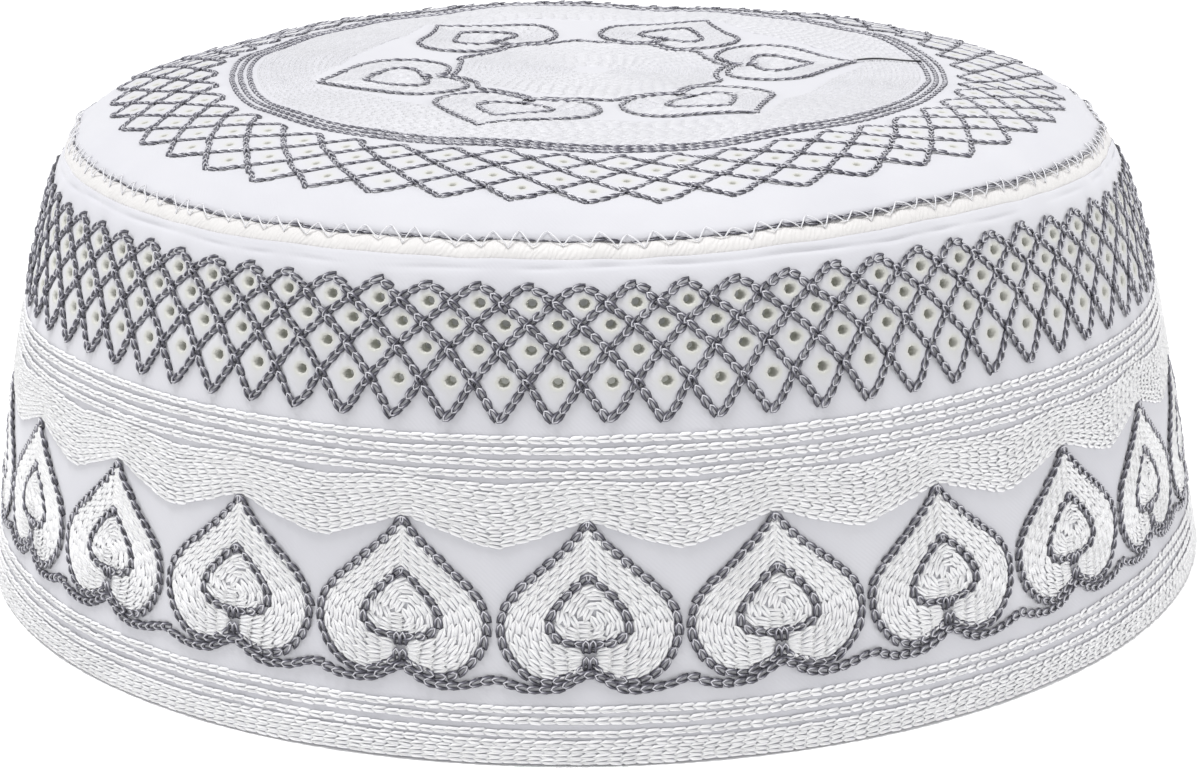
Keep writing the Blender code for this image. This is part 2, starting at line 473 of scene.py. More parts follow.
def crown_lobe_lines():
    """White arcs that fill in between the crown's hearts, each shorter than the last."""
    lines = []
    for middle, half in crown_gaps():
        for row in range(CROWN_LOBES):
            reach = half - LOBE_END - LOBE_STEP * row
            radius = (CROWN_ROWS_MM[-1] - LOBE_PITCH * (row + 1)) * MM
            turn = np.linspace(-reach, reach, 40)
            bow = radius - LOBE_BOW * (1 - (turn / reach) ** 2) * (row / CROWN_LOBES)
            lines.append(Line(np.column_stack((middle + turn, distance_at(bow), np.full(40, -SUNK))), False))
    return lines


# How far the ring inside the crown's hearts stands off their lobes, from the middle of a gap to a heart
RING_PHASES = (0, 0.25, 0.55, 0.82, 1)
RING_OFFSETS_MM = (0.6, -0.6, -1.0, -0.4, 0.9)


def crown_garland_line():
    """The dark scalloped ring inside the crown's hearts."""
    rows = []
    for number, (middle, half) in enumerate(crown_gaps()):
        phase = np.linspace(-1, 1, 41)[:-1]
        before, after = CROWN_HEARTS[number], CROWN_HEARTS[(number + 1) % len(CROWN_HEARTS)]
        lobes = np.interp(phase, (-0.4, 0.4), (before.lobes_mm, after.lobes_mm))
        offset = np.interp(np.abs(phase), RING_PHASES, RING_OFFSETS_MM)
        distance = distance_at((lobes + offset) * MM)
        rows.append(np.column_stack((middle + half * phase, distance, np.zeros(len(phase)))))
    return Line(np.vstack(rows), True)


# Materials
LOOP_TONES = (0.92, 1.0)                # how much lighter one loop of thread is than another
THREAD_PATCH_MM = 1000 / 90             # how large the patches of lighter and darker thread are


def linear(hex_colour):
    """A #rrggbb colour as the linear numbers that Blender's sockets take."""
    parts = [int(hex_colour[i:i + 2], 16) / 255 for i in (1, 3, 5)]
    return tuple(p / 12.92 if p <= 0.04045 else ((p + 0.055) / 1.055) ** 2.4 for p in parts) + (1.0,)


def node(tree, kind, settings=None, inputs=None, links=None):
    """Adds a node with its settings, its input values and the sockets that feed it."""
    made = tree.nodes.new(kind)
    for name, value in (settings or {}).items():
        setattr(made, name, value)
    for name, value in (inputs or {}).items():
        made.inputs[name].default_value = value
    for name, source in (links or {}).items():
        tree.links.new(source, made.inputs[name])
    return made


def start_material(name, roughness, sheen, sheen_tint, specular=0.5):
    """A new material with its shader's constant values set."""
    material = bpy.data.materials.new(name)
    material.use_nodes = True
    shader = material.node_tree.nodes["Principled BSDF"]
    shader.inputs["Roughness"].default_value = roughness
    shader.inputs["Sheen Weight"].default_value = sheen
    shader.inputs["Sheen Tint"].default_value = linear(sheen_tint)
    shader.inputs["Sheen Roughness"].default_value = 0.5
    shader.inputs["Specular IOR Level"].default_value = specular
    return material, material.node_tree, shader


def set_stops(elements, stops):
    """Sets the stops of a range of colours, each given as its position and hex colour."""
    while len(elements) < len(stops):
        elements.new(0.5)
    for element, (position, colour) in zip(elements, stops):
        element.position = position
        element.color = linear(colour)


def embroidery_thread(name, shades, roughness, sheen, ply=0.06 * MM, stray=0.6):
    """Spun rayon thread, two plies twisted together, with a twist as deep as its ply. Its colour runs from a
    strand's edges to its crest: painted shade where it dips into the cloth, and a painted highlight on the
    crest of each loop."""
    material, tree, shader = start_material(name, roughness, sheen, "#FFFFFF", 0.6)
    # The loop's painted highlight values pick the colour: painted shade at a strand's edges, a glint on its
    # crest.
    crest = node(tree, "ShaderNodeAttribute", {"attribute_name": "shine"})
    body = node(tree, "ShaderNodeValToRGB", links={"Fac": crest.outputs["Fac"]})
    set_stops(body.color_ramp.elements, shades)
    shade = node(tree, "ShaderNodeAttribute", {"attribute_name": "shade"})
    spot = node(tree, "ShaderNodeTexCoord")
    patches = node(tree, "ShaderNodeTexNoise", inputs={"Scale": 1000 / THREAD_PATCH_MM, "Detail": 2.0},
                   links={"Vector": spot.outputs["Object"]})
    mixed = node(tree, "ShaderNodeMath", {"operation": "ADD"},
                 links={0: patches.outputs["Fac"], 1: shade.outputs["Fac"]})
    tone = node(tree, "ShaderNodeMapRange",
                inputs={"From Max": 1.6, "To Min": LOOP_TONES[0], "To Max": LOOP_TONES[1]},
                links={"Value": mixed.outputs[0]})
    toned = node(tree, "ShaderNodeVectorMath", {"operation": "SCALE"},
                 links={0: body.outputs["Color"], "Scale": tone.outputs["Result"]})
    tree.links.new(toned.outputs["Vector"], shader.inputs["Base Color"])
    strand = node(tree, "ShaderNodeUVMap", {"uv_map": "strand"})
    twist = node(tree, "ShaderNodeTexWave", {"wave_type": "BANDS", "bands_direction": "DIAGONAL"},
                 {"Scale": 1.0, "Distortion": stray, "Detail": 1.0}, {"Vector": strand.outputs["UV"]})
    bump = node(tree, "ShaderNodeBump", inputs={"Strength": 0.35, "Distance": ply},
                links={"Height": twist.outputs["Fac"]})
    tree.links.new(bump.outputs["Normal"], shader.inputs["Normal"])
    return material


COTTON_SHADES = ((0.3, "#CBCBD1"), (0.7, "#D0D0D5"))
HEM_SHADE = "#CBCBC5"
COTTON_PATCH_MM = 1000 / 45             # how large the cloth's lighter and darker patches are
FUZZ_MM = 1000 / 3500
RIB_MM = 0.32                           # coarser than a real twill's, the finest that the render can show
WAVE_SPACING = 0.314                    # how far apart a wave texture's bands lie at scale 1


def twill_cotton(name):
    """Bleached twill cotton over interlining: matt, cool white, with a fine slanting rib and a soft fuzz."""
    material, tree, shader = start_material(name, 0.85, 0.25, "#FFFFFF", 0.25)
    spot = node(tree, "ShaderNodeTexCoord")
    patches = node(tree, "ShaderNodeTexNoise", inputs={"Scale": 1000 / COTTON_PATCH_MM, "Detail": 3.0},
                   links={"Vector": spot.outputs["Object"]})
    cloth = node(tree, "ShaderNodeValToRGB", links={"Fac": patches.outputs["Fac"]})
    set_stops(cloth.color_ramp.elements, COTTON_SHADES)
    hem = node(tree, "ShaderNodeAttribute", {"attribute_name": "eyelet"})
    mixed = node(tree, "ShaderNodeMix", {"data_type": "RGBA"}, {"B": linear(HEM_SHADE)},
                 {"Factor": hem.outputs["Fac"], "A": cloth.outputs["Color"]})
    tree.links.new(mixed.outputs["Result"], shader.inputs["Base Color"])
    cloth_map = node(tree, "ShaderNodeUVMap", {"uv_map": "cloth"})
    rib = node(tree, "ShaderNodeTexWave", {"wave_type": "BANDS", "bands_direction": "DIAGONAL"},
               {"Scale": WAVE_SPACING / RIB_MM, "Distortion": 1.2, "Detail": 2.0, "Detail Scale": 1.5},
               {"Vector": cloth_map.outputs["UV"]})
    fuzz = node(tree, "ShaderNodeTexNoise", inputs={"Scale": 1000 / FUZZ_MM, "Detail": 2.0},
                links={"Vector": spot.outputs["Object"]})
    height = node(tree, "ShaderNodeMath", {"operation": "MULTIPLY_ADD"}, {1: 0.5},
                  {0: fuzz.outputs["Fac"], 2: rib.outputs["Fac"]})
    bump = node(tree, "ShaderNodeBump", inputs={"Strength": 0.12, "Distance": 0.05 * MM},
                links={"Height": height.outputs[0]})
    tree.links.new(bump.outputs["Normal"], shader.inputs["Normal"])
    return material


# A thread's colour from a strand's edges to its crest: its own tone, with painted shade at the edges
# and a painted highlight on the crest. White rayon gets a white glint. On the crown, which faces the
# ceiling light, the white thread is a darker copy: painted shade. The blue-grey one is painted nearly
# black in its folds and white on its crests. The overcast one is creamy and matt.
WHITE_THREAD_PAINTED_LIGHT = ((0.0, "#E7E7EB"), (0.4, "#FAFAFC"), (1.0, "#FFFFFF"))
CROWN_WHITE_THREAD_PAINTED_SHADE = ((0.0, "#CECED3"), (0.4, "#D3D3D8"), (1.0, "#DADADE"))
DARK_THREAD_PAINTED_LIGHT = ((0.0, "#1E1D25"), (0.35, "#4D4C58"), (0.6, "#7A7986"), (0.95, "#F6F6FA"))
OVERCAST_SHADES = ((0.0, "#DFDDDC"), (1.0, "#E8E7E5"))


def make_materials():
    """Every material by its name in the tables below."""
    return {
        "white_thread": embroidery_thread("white_rayon_thread", WHITE_THREAD_PAINTED_LIGHT, 0.38, 0.15),
        # The crown's rows face the ceiling light, so they take a darker copy of the white thread: painted
        # shade.
        "shaded_white_thread": embroidery_thread("white_rayon_thread_drawn_flat", CROWN_WHITE_THREAD_PAINTED_SHADE, 0.5, 0.10),
        "dark_thread": embroidery_thread("blue_grey_rayon_thread", DARK_THREAD_PAINTED_LIGHT, 0.28, 0.10),
        "overcast_thread": embroidery_thread(
            "cream_overcast_thread", OVERCAST_SHADES, 0.6, 0.25, ply=0.12 * MM, stray=7.0),
        "white_cotton": twill_cotton("bleached_twill_cotton"),
    }


# Meshes
def add_object(name, data):
    """An object in the scene."""
    made = bpy.data.objects.new(name, data)
    bpy.context.scene.collection.objects.link(made)
    return made


def mesh_object(name, vertices, faces, material=None):
    """An object of its own from plain vertices and faces, shaded smooth."""
    mesh = bpy.data.meshes.new(name)
    mesh.from_pydata([tuple(v) for v in vertices], [], [tuple(f) for f in faces])
    mesh.update()
    mesh.shade_smooth()
    if material:
        mesh.materials.append(material)
    return add_object(name, mesh)


# One loop of a chain stitch from its tail to its head. Along is a share of the stitch's length, across of
# half its width, lift and girth of the thread's thickness. The next loop's tail comes up inside the head and
# hides its bar.
Bend = namedtuple("Bend", "along across lift girth")
LONG_LOOP = (
    Bend(-0.22, 0.00, 0.75, 0.90),
    Bend(0.12, 0.86, 0.65, 1.00),
    Bend(0.80, 1.00, 0.30, 1.00),
    Bend(1.04, 0.00, 0.05, 0.80),
)
TIGHT_LOOP = (
    Bend(-0.20, 0.00, 1.10, 0.90),
    Bend(0.04, 0.80, 1.20, 0.95),
    Bend(0.46, 1.00, 0.75, 1.15),
    Bend(0.92, 0.82, 0.20, 0.85),
    Bend(0.84, 0.00, 0.00, 0.60),
)
FLAT_LOOP = (
    Bend(-0.22, 0.00, 0.40, 0.90),
    Bend(0.12, 0.86, 0.38, 1.00),
    Bend(0.80, 1.00, 0.22, 1.00),
    Bend(1.04, 0.00, 0.05, 0.80),
)
FINE_LOOP = (
    Bend(-0.18, 0.00, 1.10, 0.90),
    Bend(0.14, 0.90, 1.00, 1.00),
    Bend(0.72, 0.95, 0.40, 1.10),
    Bend(1.00, 0.00, 0.00, 0.70),
)
Stitch = namedtuple("Stitch", "length width thread bends")
ROW_STITCH = Stitch(1.68 * MM, 0.94 * MM, 0.38 * MM, LONG_LOOP)
FILL_STITCH = Stitch(1.72 * MM, 0.94 * MM, 0.40 * MM, LONG_LOOP)
DARK_STITCH = Stitch(1.50 * MM, 1.16 * MM, 0.37 * MM, TIGHT_LOOP)
FINE_DARK_STITCH = Stitch(1.50 * MM, 0.84 * MM, 0.28 * MM, FINE_LOOP)
CROWN_STITCH = Stitch(2.0 * MM, 1.00 * MM, 0.44 * MM, FLAT_LOOP)
SEAM_STITCH = Stitch(1.75 * MM, 0.56 * MM, 0.22 * MM, FINE_LOOP)
# A strand's section, flattened by the tension: its ridge and its two edges, in shares of its thickness
STRAND_SECTION = ((0.0, 0.52), (-0.56, -0.16), (0.56, -0.16))
# How much painted highlight each bend's ridge gets, from the tail's, that stands up, to the head's, that lies
# low
RIDGE_PAINTED_HIGHLIGHT = (1.0, 0.95, 0.50, 0.40, 0.2)
EDGE_PAINTED_HIGHLIGHT = 0.28                       # and the edges of the standing bend


def make_loop(name, stitch):
    """A closed loop of thread to repeat along a line: +X runs along the line and +Z off the cloth."""
    half_width = (stitch.width - stitch.thread) / 2
    right = [(b.along * stitch.length, b.across * half_width, b.lift * stitch.thread) for b in stitch.bends]
    left = [(x, -y, z) for x, y, z in right[-2:0:-1]]
    girths = [b.girth for b in stitch.bends] + [b.girth for b in stitch.bends[-2:0:-1]]
    path = np.array(right + left)
    count = len(path)
    vertices, faces, strand = [], [], []
    for index, (point, girth) in enumerate(zip(path, girths)):
        tangent = path[(index + 1) % count] - path[index - 1]
        tangent /= np.linalg.norm(tangent)
        aside = np.cross((0, 0, 1), tangent)
        aside /= np.linalg.norm(aside)
        above = np.cross(tangent, aside)
        for out, up in STRAND_SECTION:
            vertices.append(point + stitch.thread * girth * (out * aside + up * above))
    sides = len(STRAND_SECTION)
    for index in range(count):
        for side in range(sides):
            after, turned = (index + 1) % count, (side + 1) % sides
            corners = (index, turned), (after, turned), (after, side), (index, side)
            faces.append([a * sides + b for a, b in corners])
            strand += [(index, side + 1), (index + 1, side + 1), (index + 1, side), (index, side)]
    made = mesh_object(name, vertices, faces)
    layer = made.data.uv_layers.new(name="strand")
    layer.uv.foreach_set("vector", np.array(strand, np.float32).ravel())
    # The edges on the cloth are sharp, so that each strand is shaded as a round ridge and not as a flat wedge
    sharp = made.data.attributes.new("sharp_edge", "BOOLEAN", "EDGE")
    sharp.data.foreach_set("value", [(a % sides > 0) and (a % sides == b % sides)
                                     for a, b in (e.vertices for e in made.data.edges)])
    # Painted highlight for the thread's colours: most on the standing tail's ridge and some on its edges,
    # less towards the head, and none on the other edges, which the colours paint in shade.
    shine = made.data.attributes.new("shine", "FLOAT", "POINT")
    shares = []
    for index in range(count):
        edge = EDGE_PAINTED_HIGHLIGHT if index in (0, 1, count - 1) else 0.0
        shares += [RIDGE_PAINTED_HIGHLIGHT[min(index, count - index)], edge, edge]
    shine.data.foreach_set("value", np.array(shares, np.float32))
    made.hide_render = True
    return made


# How far the unevenness leans a loop about its own axes, in radians
STITCH_LEAN = (1.6, 0.6, 0.9)


def stitch_tree():
    """Geometry nodes that sew chain stitches along lines: a loop at each step, turned along and out."""
    tree = bpy.data.node_groups.new("chain_stitch", "GeometryNodeTree")
    sockets = (
        ("Lines", "NodeSocketGeometry"), ("Loop", "NodeSocketObject"), ("Stitch length", "NodeSocketFloat"),
        ("Unevenness", "NodeSocketFloat"), ("Seed", "NodeSocketInt"), ("Thread", "NodeSocketMaterial"),
    )
    for name, kind in sockets:
        tree.interface.new_socket(name, in_out="INPUT", socket_type=kind)
    tree.interface.new_socket("Stitches", in_out="OUTPUT", socket_type="NodeSocketGeometry")
    given = node(tree, "NodeGroupInput").outputs
    curve = node(tree, "GeometryNodeMeshToCurve", links={"Mesh": given["Lines"]})
    steps = node(tree, "GeometryNodeResampleCurve", {"mode": "LENGTH"},
                 links={"Curve": curve.outputs[0], "Length": given["Stitch length"]})
    loop = node(tree, "GeometryNodeObjectInfo", links={"Object": given["Loop"]})
    out = node(tree, "GeometryNodeInputNamedAttribute", {"data_type": "FLOAT_VECTOR"}, {"Name": "outward"})
    along = node(tree, "GeometryNodeInputTangent")
    turned = node(tree, "FunctionNodeAxesToRotation", {"primary_axis": "Z", "secondary_axis": "X"},
                  links={"Primary Axis": out.outputs[0], "Secondary Axis": along.outputs[0]})
    most = node(tree, "ShaderNodeMath", {"operation": "ADD"}, {0: 1.0}, {1: given["Unevenness"]})
    least = node(tree, "ShaderNodeMath", {"operation": "SUBTRACT"}, {0: 1.0}, {1: given["Unevenness"]})
    size = node(tree, "FunctionNodeRandomValue", {"data_type": "FLOAT_VECTOR"},
                links={"Min": least.outputs[0], "Max": most.outputs[0], "Seed": given["Seed"]})
    back, tilt = [
        node(tree, "ShaderNodeVectorMath", {"operation": "SCALE"},
             {0: [sign * angle for angle in STITCH_LEAN]}, {"Scale": given["Unevenness"]})
        for sign in (-1, 1)
    ]
    lean = node(tree, "FunctionNodeRandomValue", {"data_type": "FLOAT_VECTOR"},
                links={"Min": back.outputs[0], "Max": tilt.outputs[0], "Seed": given["Seed"]})
    leaned = node(tree, "FunctionNodeEulerToRotation", links={"Euler": lean.outputs[0]})
    posed = node(tree, "FunctionNodeRotateRotation", {"rotation_space": "LOCAL"},
                 links={"Rotation": turned.outputs[0], "Rotate By": leaned.outputs[0]})
    sewn = node(tree, "GeometryNodeInstanceOnPoints", links={
        "Points": steps.outputs[0], "Instance": loop.outputs["Geometry"], "Rotation": posed.outputs[0],
        "Scale": size.outputs[0]})
    tone = node(tree, "FunctionNodeRandomValue", {"data_type": "FLOAT"}, links={"Seed": given["Seed"]})
    toned = node(tree, "GeometryNodeStoreNamedAttribute", {"data_type": "FLOAT", "domain": "INSTANCE"},
                 {"Name": "shade"}, {"Geometry": sewn.outputs[0], "Value": tone.outputs["Value"]})
    real = node(tree, "GeometryNodeRealizeInstances", links={"Geometry": toned.outputs[0]})
    dressed = node(tree, "GeometryNodeSetMaterial",
                   links={"Geometry": real.outputs[0], "Material": given["Thread"]})
    node(tree, "NodeGroupOutput", links={"Stitches": dressed.outputs[0]})
    return tree


SHORTEST_LINE = 0.05 * MM


def shortened(line, length):
    """An open line less one stitch at its end, because the last stitch starts at the last point."""
    if line.closed:
        return line
    marks = lengths_along(place(*line.points.T))
    wanted = np.linspace(0, max(marks[-1] - length, SHORTEST_LINE), len(marks))
    return Line(read_at(wanted, marks, line.points), False)


def guide_mesh(name, lines, length):
    """The lines as edges in space, each point with the direction that faces out of the cloth."""
    places, outs, edges = [], [], []
    start = 0
    for line in lines:
        line = shortened(line, length)
        turn, distance, lift = line.points.T
        places.append(place(turn, distance, lift))
        outs.append(outward(turn, distance))
        count = len(turn)
        edges += [(start + i, start + i + 1) for i in range(count - 1)]
        if line.closed:
            edges.append((start + count - 1, start))
        start += count
    mesh = bpy.data.meshes.new(name)
    mesh.from_pydata(np.vstack(places).tolist(), edges, [])
    attribute = mesh.attributes.new("outward", "FLOAT_VECTOR", "POINT")
    attribute.data.foreach_set("vector", np.vstack(outs).astype(np.float32).ravel())
    return mesh


def settled(guide, tree, values):
    """Runs a node tree on a guide and gives the result as a plain mesh."""
    modifier = guide.modifiers.new("stitches", "NODES")
    modifier.node_group = tree
    for item in tree.interface.items_tree:
        if item.in_out == "INPUT" and item.name in values:
            modifier[item.identifier] = values[item.name]
    guide.update_tag()
    depsgraph = bpy.context.evaluated_depsgraph_get()
    mesh = bpy.data.meshes.new_from_object(guide.evaluated_get(depsgraph), depsgraph=depsgraph)
    guide.modifiers.remove(modifier)
    return mesh


def sew(name, lines, kind, loop, thread, tree):
    """One piece of embroidery: chain stitches along its lines."""
    length = kind.stitch.length
    guide = add_object(name + "_lines", guide_mesh(name + "_lines", lines, length))
    mesh = settled(guide, tree, {
        "Loop": loop, "Stitch length": length, "Unevenness": kind.unevenness, "Thread": thread,
        "Seed": sum(ord(letter) for letter in name)})
    bpy.data.objects.remove(guide)
    mesh.name = name
    piece = add_object(name, mesh)
    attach(piece, "root")


MAP_RADIUS = RIM_RADIUS * 0.9           # the cloth's map is true to size at this radius


class Cloth:
    """A mesh built up from corners given as turn, distance and lift, and placed in space at the end."""

    def __init__(self):
        self.corners, self.faces, self.hems = [], [], []

    def corner(self, turn, distance, lift, hem=0.0):
        self.corners.append((turn, distance, lift))
        self.hems.append(hem)
        return len(self.corners) - 1

    def ring(self, turns, distance, lift):
        return [self.corner(turn, distance, lift) for turn in turns]

    def spread(self, lower, upper, times):
        """Faces from a ring to one with several times its corners."""
        for i in range(len(lower)):
            j = (i + 1) % len(lower)
            far = [upper[(i * times + k) % len(upper)] for k in range(times, -1, -1)]
            self.faces.append((lower[i], lower[j], *far))

    def strip(self, lower, upper):
        """Faces between two rings of as many corners."""
        for i in range(len(lower)):
            j = (i + 1) % len(lower)
            self.faces.append((lower[i], lower[j], upper[j], upper[i]))

    def piece(self, name, material):
        """The finished object, with its map in millimetres along and up the cloth."""
        corners = np.array(self.corners)
        made = mesh_object(name, place(*corners.T), self.faces, material)
        loops = np.zeros(len(made.data.loops), np.int32)
        made.data.loops.foreach_get("vertex_index", loops)
        flat = corners[loops][:, :2] / MM
        flat[:, 0] *= MAP_RADIUS
        # A face that runs past a full turn stays in one piece on the map
        sizes = [len(face) for face in self.faces]
        first = flat[np.repeat(np.cumsum([0] + sizes[:-1]), sizes)]
        whole = FULL_TURN / MM * MAP_RADIUS
        flat[:, 0] -= np.round((flat[:, 0] - first[:, 0]) / whole) * whole
        layer = made.data.uv_layers.new(name="cloth")
        layer.uv.foreach_set("vector", flat.astype(np.float32).ravel())
        hems = made.data.attributes.new("eyelet", "FLOAT", "POINT")
        hems.data.foreach_set("value", np.array(self.hems, np.float32))
        return made


EYELET_SIDES = 8
PUFF = 0.30 * MM                        # how far the cloth puffs up between the threads
PUFF_SHARE = 0.42                       # and how much of the way in to the hole
# The hem round an eyelet, from its outside to its hole
Hem = namedtuple("Hem", "radius lift tint")
EYELET_HEMS = (
    Hem(1.35 * MM, 0.24 * MM, 0.4),
    Hem(1.05 * MM, 0.34 * MM, 0.9),
    Hem(EYELET_RADIUS, 0.10 * MM, 1.0),
)
# The awl leaves the hole narrower inside, and a little higher and to the left
INNER_HEM = Hem(0.55 * MM, 0.0, 1.0)
HOLE_LEAN = 0.15 * MM


def lattice_cells(cloth, lattice, levels, skin):
    """The cloth of a lattice: a cell with an eyelet in each diamond and half cells at the tips.

    skin is 0.0 for the outer face and minus the wall for the inner one. Gives the rings of corners at the low
    and the high tips, and round the holes.
    """
    columns = lattice.columns
    half = FULL_TURN / columns / 2
    high = len(levels) - 1
    knots = []
    for level in range(high + 1):
        first = lattice.first + half * level
        knots.append([cloth.corner(first + 2 * half * k, levels[level], skin) for k in range(columns)])

    def halfway(a, b):
        turn_a, distance_a, _ = cloth.corners[a]
        turn_b, distance_b, _ = cloth.corners[b]
        turn_b += round((turn_a - turn_b) / FULL_TURN) * FULL_TURN
        return cloth.corner((turn_a + turn_b) / 2, (distance_a + distance_b) / 2, skin)

    mids = {}
    for level in range(high):
        for k in range(columns):
            a = knots[level][k]
            for b in (knots[level + 1][k], knots[level + 1][k - 1]):
                mids[a, b] = halfway(a, b)
    holes = []
    for level in range(1, high):
        for k in range(columns):
            bottom = knots[level - 1][k]
            right, left = knots[level][k], knots[level][k - 1]
            top = knots[level + 1][k - 1]
            loop = (left, mids[bottom, left], bottom, mids[bottom, right],
                    right, mids[right, top], top, mids[left, top])
            holes.append(eyelet(cloth, loop, cloth.corners[bottom][0], levels[level], skin, lattice.hole))
    low_ring, high_ring = [], []
    for k in range(columns):
        after = (k + 1) % columns
        a, b, peak = knots[0][k], knots[0][after], knots[1][k]
        middle = cloth.corner(cloth.corners[a][0] + half, levels[0], skin)
        cloth.faces += [(a, middle, mids[a, peak]), (middle, peak, mids[a, peak]),
                        (middle, b, mids[b, peak]), (middle, mids[b, peak], peak)]
        low_ring += [a, middle]
        a, b, dip = knots[high][k - 1], knots[high][k], knots[high - 1][k]
        middle = cloth.corner(cloth.corners[dip][0], levels[high], skin)
        cloth.faces += [(a, mids[dip, a], middle), (mids[dip, a], dip, middle),
                        (dip, mids[dip, b], middle), (mids[dip, b], b, middle)]
        high_ring += [a, middle]
    return low_ring, high_ring, holes


def eyelet(cloth, loop, turn, distance, skin, size):
    """One diamond with its eyelet: the cloth puffs up between the threads and is hemmed round the hole."""
    outer_face = skin == 0.0
    lean = 0.0 if outer_face else HOLE_LEAN
    turn += (EYELET_ASIDE - lean) / radius_at(distance)
    distance += lean

    def around(radius):
        """The turn and distance of each corner of a ring round the hole."""
        for side in range(EYELET_SIDES):
            angle = math.pi + FULL_TURN * side / EYELET_SIDES
            yield (turn + size * radius * math.cos(angle) / radius_at(distance),
                   distance + size * radius * math.sin(angle))

    rings = [list(loop)]
    if outer_face:
        puff = []
        for corner, (edge_turn, edge_distance) in zip(loop, around(EYELET_RADIUS)):
            out_turn, out_distance, _ = cloth.corners[corner]
            out_turn += round((edge_turn - out_turn) / FULL_TURN) * FULL_TURN
            puff.append(cloth.corner(out_turn * (1 - PUFF_SHARE) + edge_turn * PUFF_SHARE,
                                     out_distance * (1 - PUFF_SHARE) + edge_distance * PUFF_SHARE, PUFF))
        rings.append(puff)
    for hem in EYELET_HEMS if outer_face else (INNER_HEM,):
        rings.append([cloth.corner(*spot, skin + size * hem.lift, hem.tint) for spot in around(hem.radius)])
    for outer, inner in zip(rings, rings[1:]):
        cloth.strip(outer, inner)
    return rings[-1]


RIM_ROUNDING = 0.35 * MM


def run_on(cloth, ring, rows, skin, times):
    """Plain cloth from a ring of the lattice through rows of distance and lift. Gives the last ring."""
    turns = np.unwrap([cloth.corners[c][0] for c in ring])
    if times > 1:
        wanted = np.arange(len(ring) * times) / times
        turns = np.interp(wanted, np.arange(len(ring) + 1), (*turns, turns[0] + FULL_TURN))
    for number, (distance, lift) in enumerate(rows):
        after = cloth.ring(turns, distance, lift if skin == 0.0 else -WALL - lift)
        if number == 0 and times > 1:
            cloth.spread(ring, after, times)
        else:
            cloth.strip(ring, after)
        ring = after
    return ring


INNER_ROW_STEP = 3                      # the plain inner face has every third of the outer one's rows


def cloth_skins(cloth, lattice, levels, low_rows, high_rows, low_times=1, high_times=1):
    """Both faces of a panel that holds a lattice, with plain cloth beyond each end. Gives the end rings."""
    ends = []
    hole_rings = []
    for skin in (0.0, -WALL):
        low, high, holes = lattice_cells(cloth, lattice, levels, skin)
        hole_rings.append(holes)
        step = 1 if skin == 0.0 else INNER_ROW_STEP
        ends.append((run_on(cloth, low, low_rows[:-1:step] + low_rows[-1:], skin, low_times),
                     run_on(cloth, high, high_rows[:-1:step] + high_rows[-1:], skin, high_times)))
    for outer, inner in zip(*hole_rings):
        cloth.strip(outer, inner)
    return ends


def fix_outward(piece):
    """Makes every face of a closed shell point out."""
    bm = bmesh.new()
    bm.from_mesh(piece.data)
    bmesh.ops.recalc_face_normals(bm, faces=bm.faces)
    bm.to_mesh(piece.data)
    bm.free()


def finish(piece, node_name=None):
    """Turns a shell's faces out, lets it ride on the cap and hides the solid it replaces."""
    fix_outward(piece)
    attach(piece, "root")
    if node_name:
        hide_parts(node_name)


# Rows of plain cloth outwards from each panel's lattice, as distances, and how the edges turn in: how far
# beyond the panel's end, and the lift
BAND_BELOW_MM = (41.0, 37.5, 33.5, 29.0, 23.5, 18.0, 12.5, 7.8, 3.0)
BAND_ABOVE_MM = (62.9, 63.3, 63.6, 63.8, 64.0, 64.2, 64.4, 64.6, 64.9)
BAND_TURN_IN_MM = ((0.45, 0.02), (0.60, -0.12), (0.65, -0.6))
CROWN_BELOW_MM = (72.4, 71.0, 70.0, 69.3)
CROWN_TURN_IN_MM = ((0.32, 0.0), (0.05, -0.25), (0.0, -0.9))
CROWN_ABOVE_RADII_MM = (50.0, 42.0, 33.0, 24.0, 15.0, 7.0)


def plain_rows(distances_mm):
    return [(distance * MM, 0.0) for distance in distances_mm]


def make_band_cloth(materials):
    """The side of the cap from its rounded rim to the shoulder."""
    cloth = Cloth()
    levels = lattice_levels(SIDE_LATTICE)
    below = plain_rows(BAND_BELOW_MM) + [(RIM_ROUNDING, 0.0), (0.0, -RIM_ROUNDING)]
    above = plain_rows(BAND_ABOVE_MM)
    above += [(BAND_TOP + over * MM, lift * MM) for over, lift in BAND_TURN_IN_MM]
    ends = cloth_skins(cloth, SIDE_LATTICE, levels, below, above, 1, 4)
    for outer, inner in zip(*ends):
        cloth.strip(outer, inner)
    finish(cloth.piece("band_cloth", materials["white_cotton"]), "side_band")


def make_crown_cloth(materials):
    """The round panel of the crown."""
    cloth = Cloth()
    levels = lattice_levels(CROWN_LATTICE)
    below = plain_rows(CROWN_BELOW_MM)
    below += [(CROWN_EDGE + over * MM, lift * MM) for over, lift in CROWN_TURN_IN_MM]
    above = [(float(distance_at(r * MM)), 0.0) for r in CROWN_ABOVE_RADII_MM]
    (outer_low, outer_high), (inner_low, inner_high) = cloth_skins(
        cloth, CROWN_LATTICE, levels, below, above, 5, 1)
    cloth.strip(outer_low, inner_low)
    for ring, skin in ((outer_high, 0.0), (inner_high, -WALL)):
        middle = cloth.corner(0.0, MARKS[-1], skin)
        for i in range(len(ring)):
            cloth.faces.append((ring[i], ring[(i + 1) % len(ring)], middle))
    finish(cloth.piece("crown_cloth", materials["white_cotton"]), "crown")


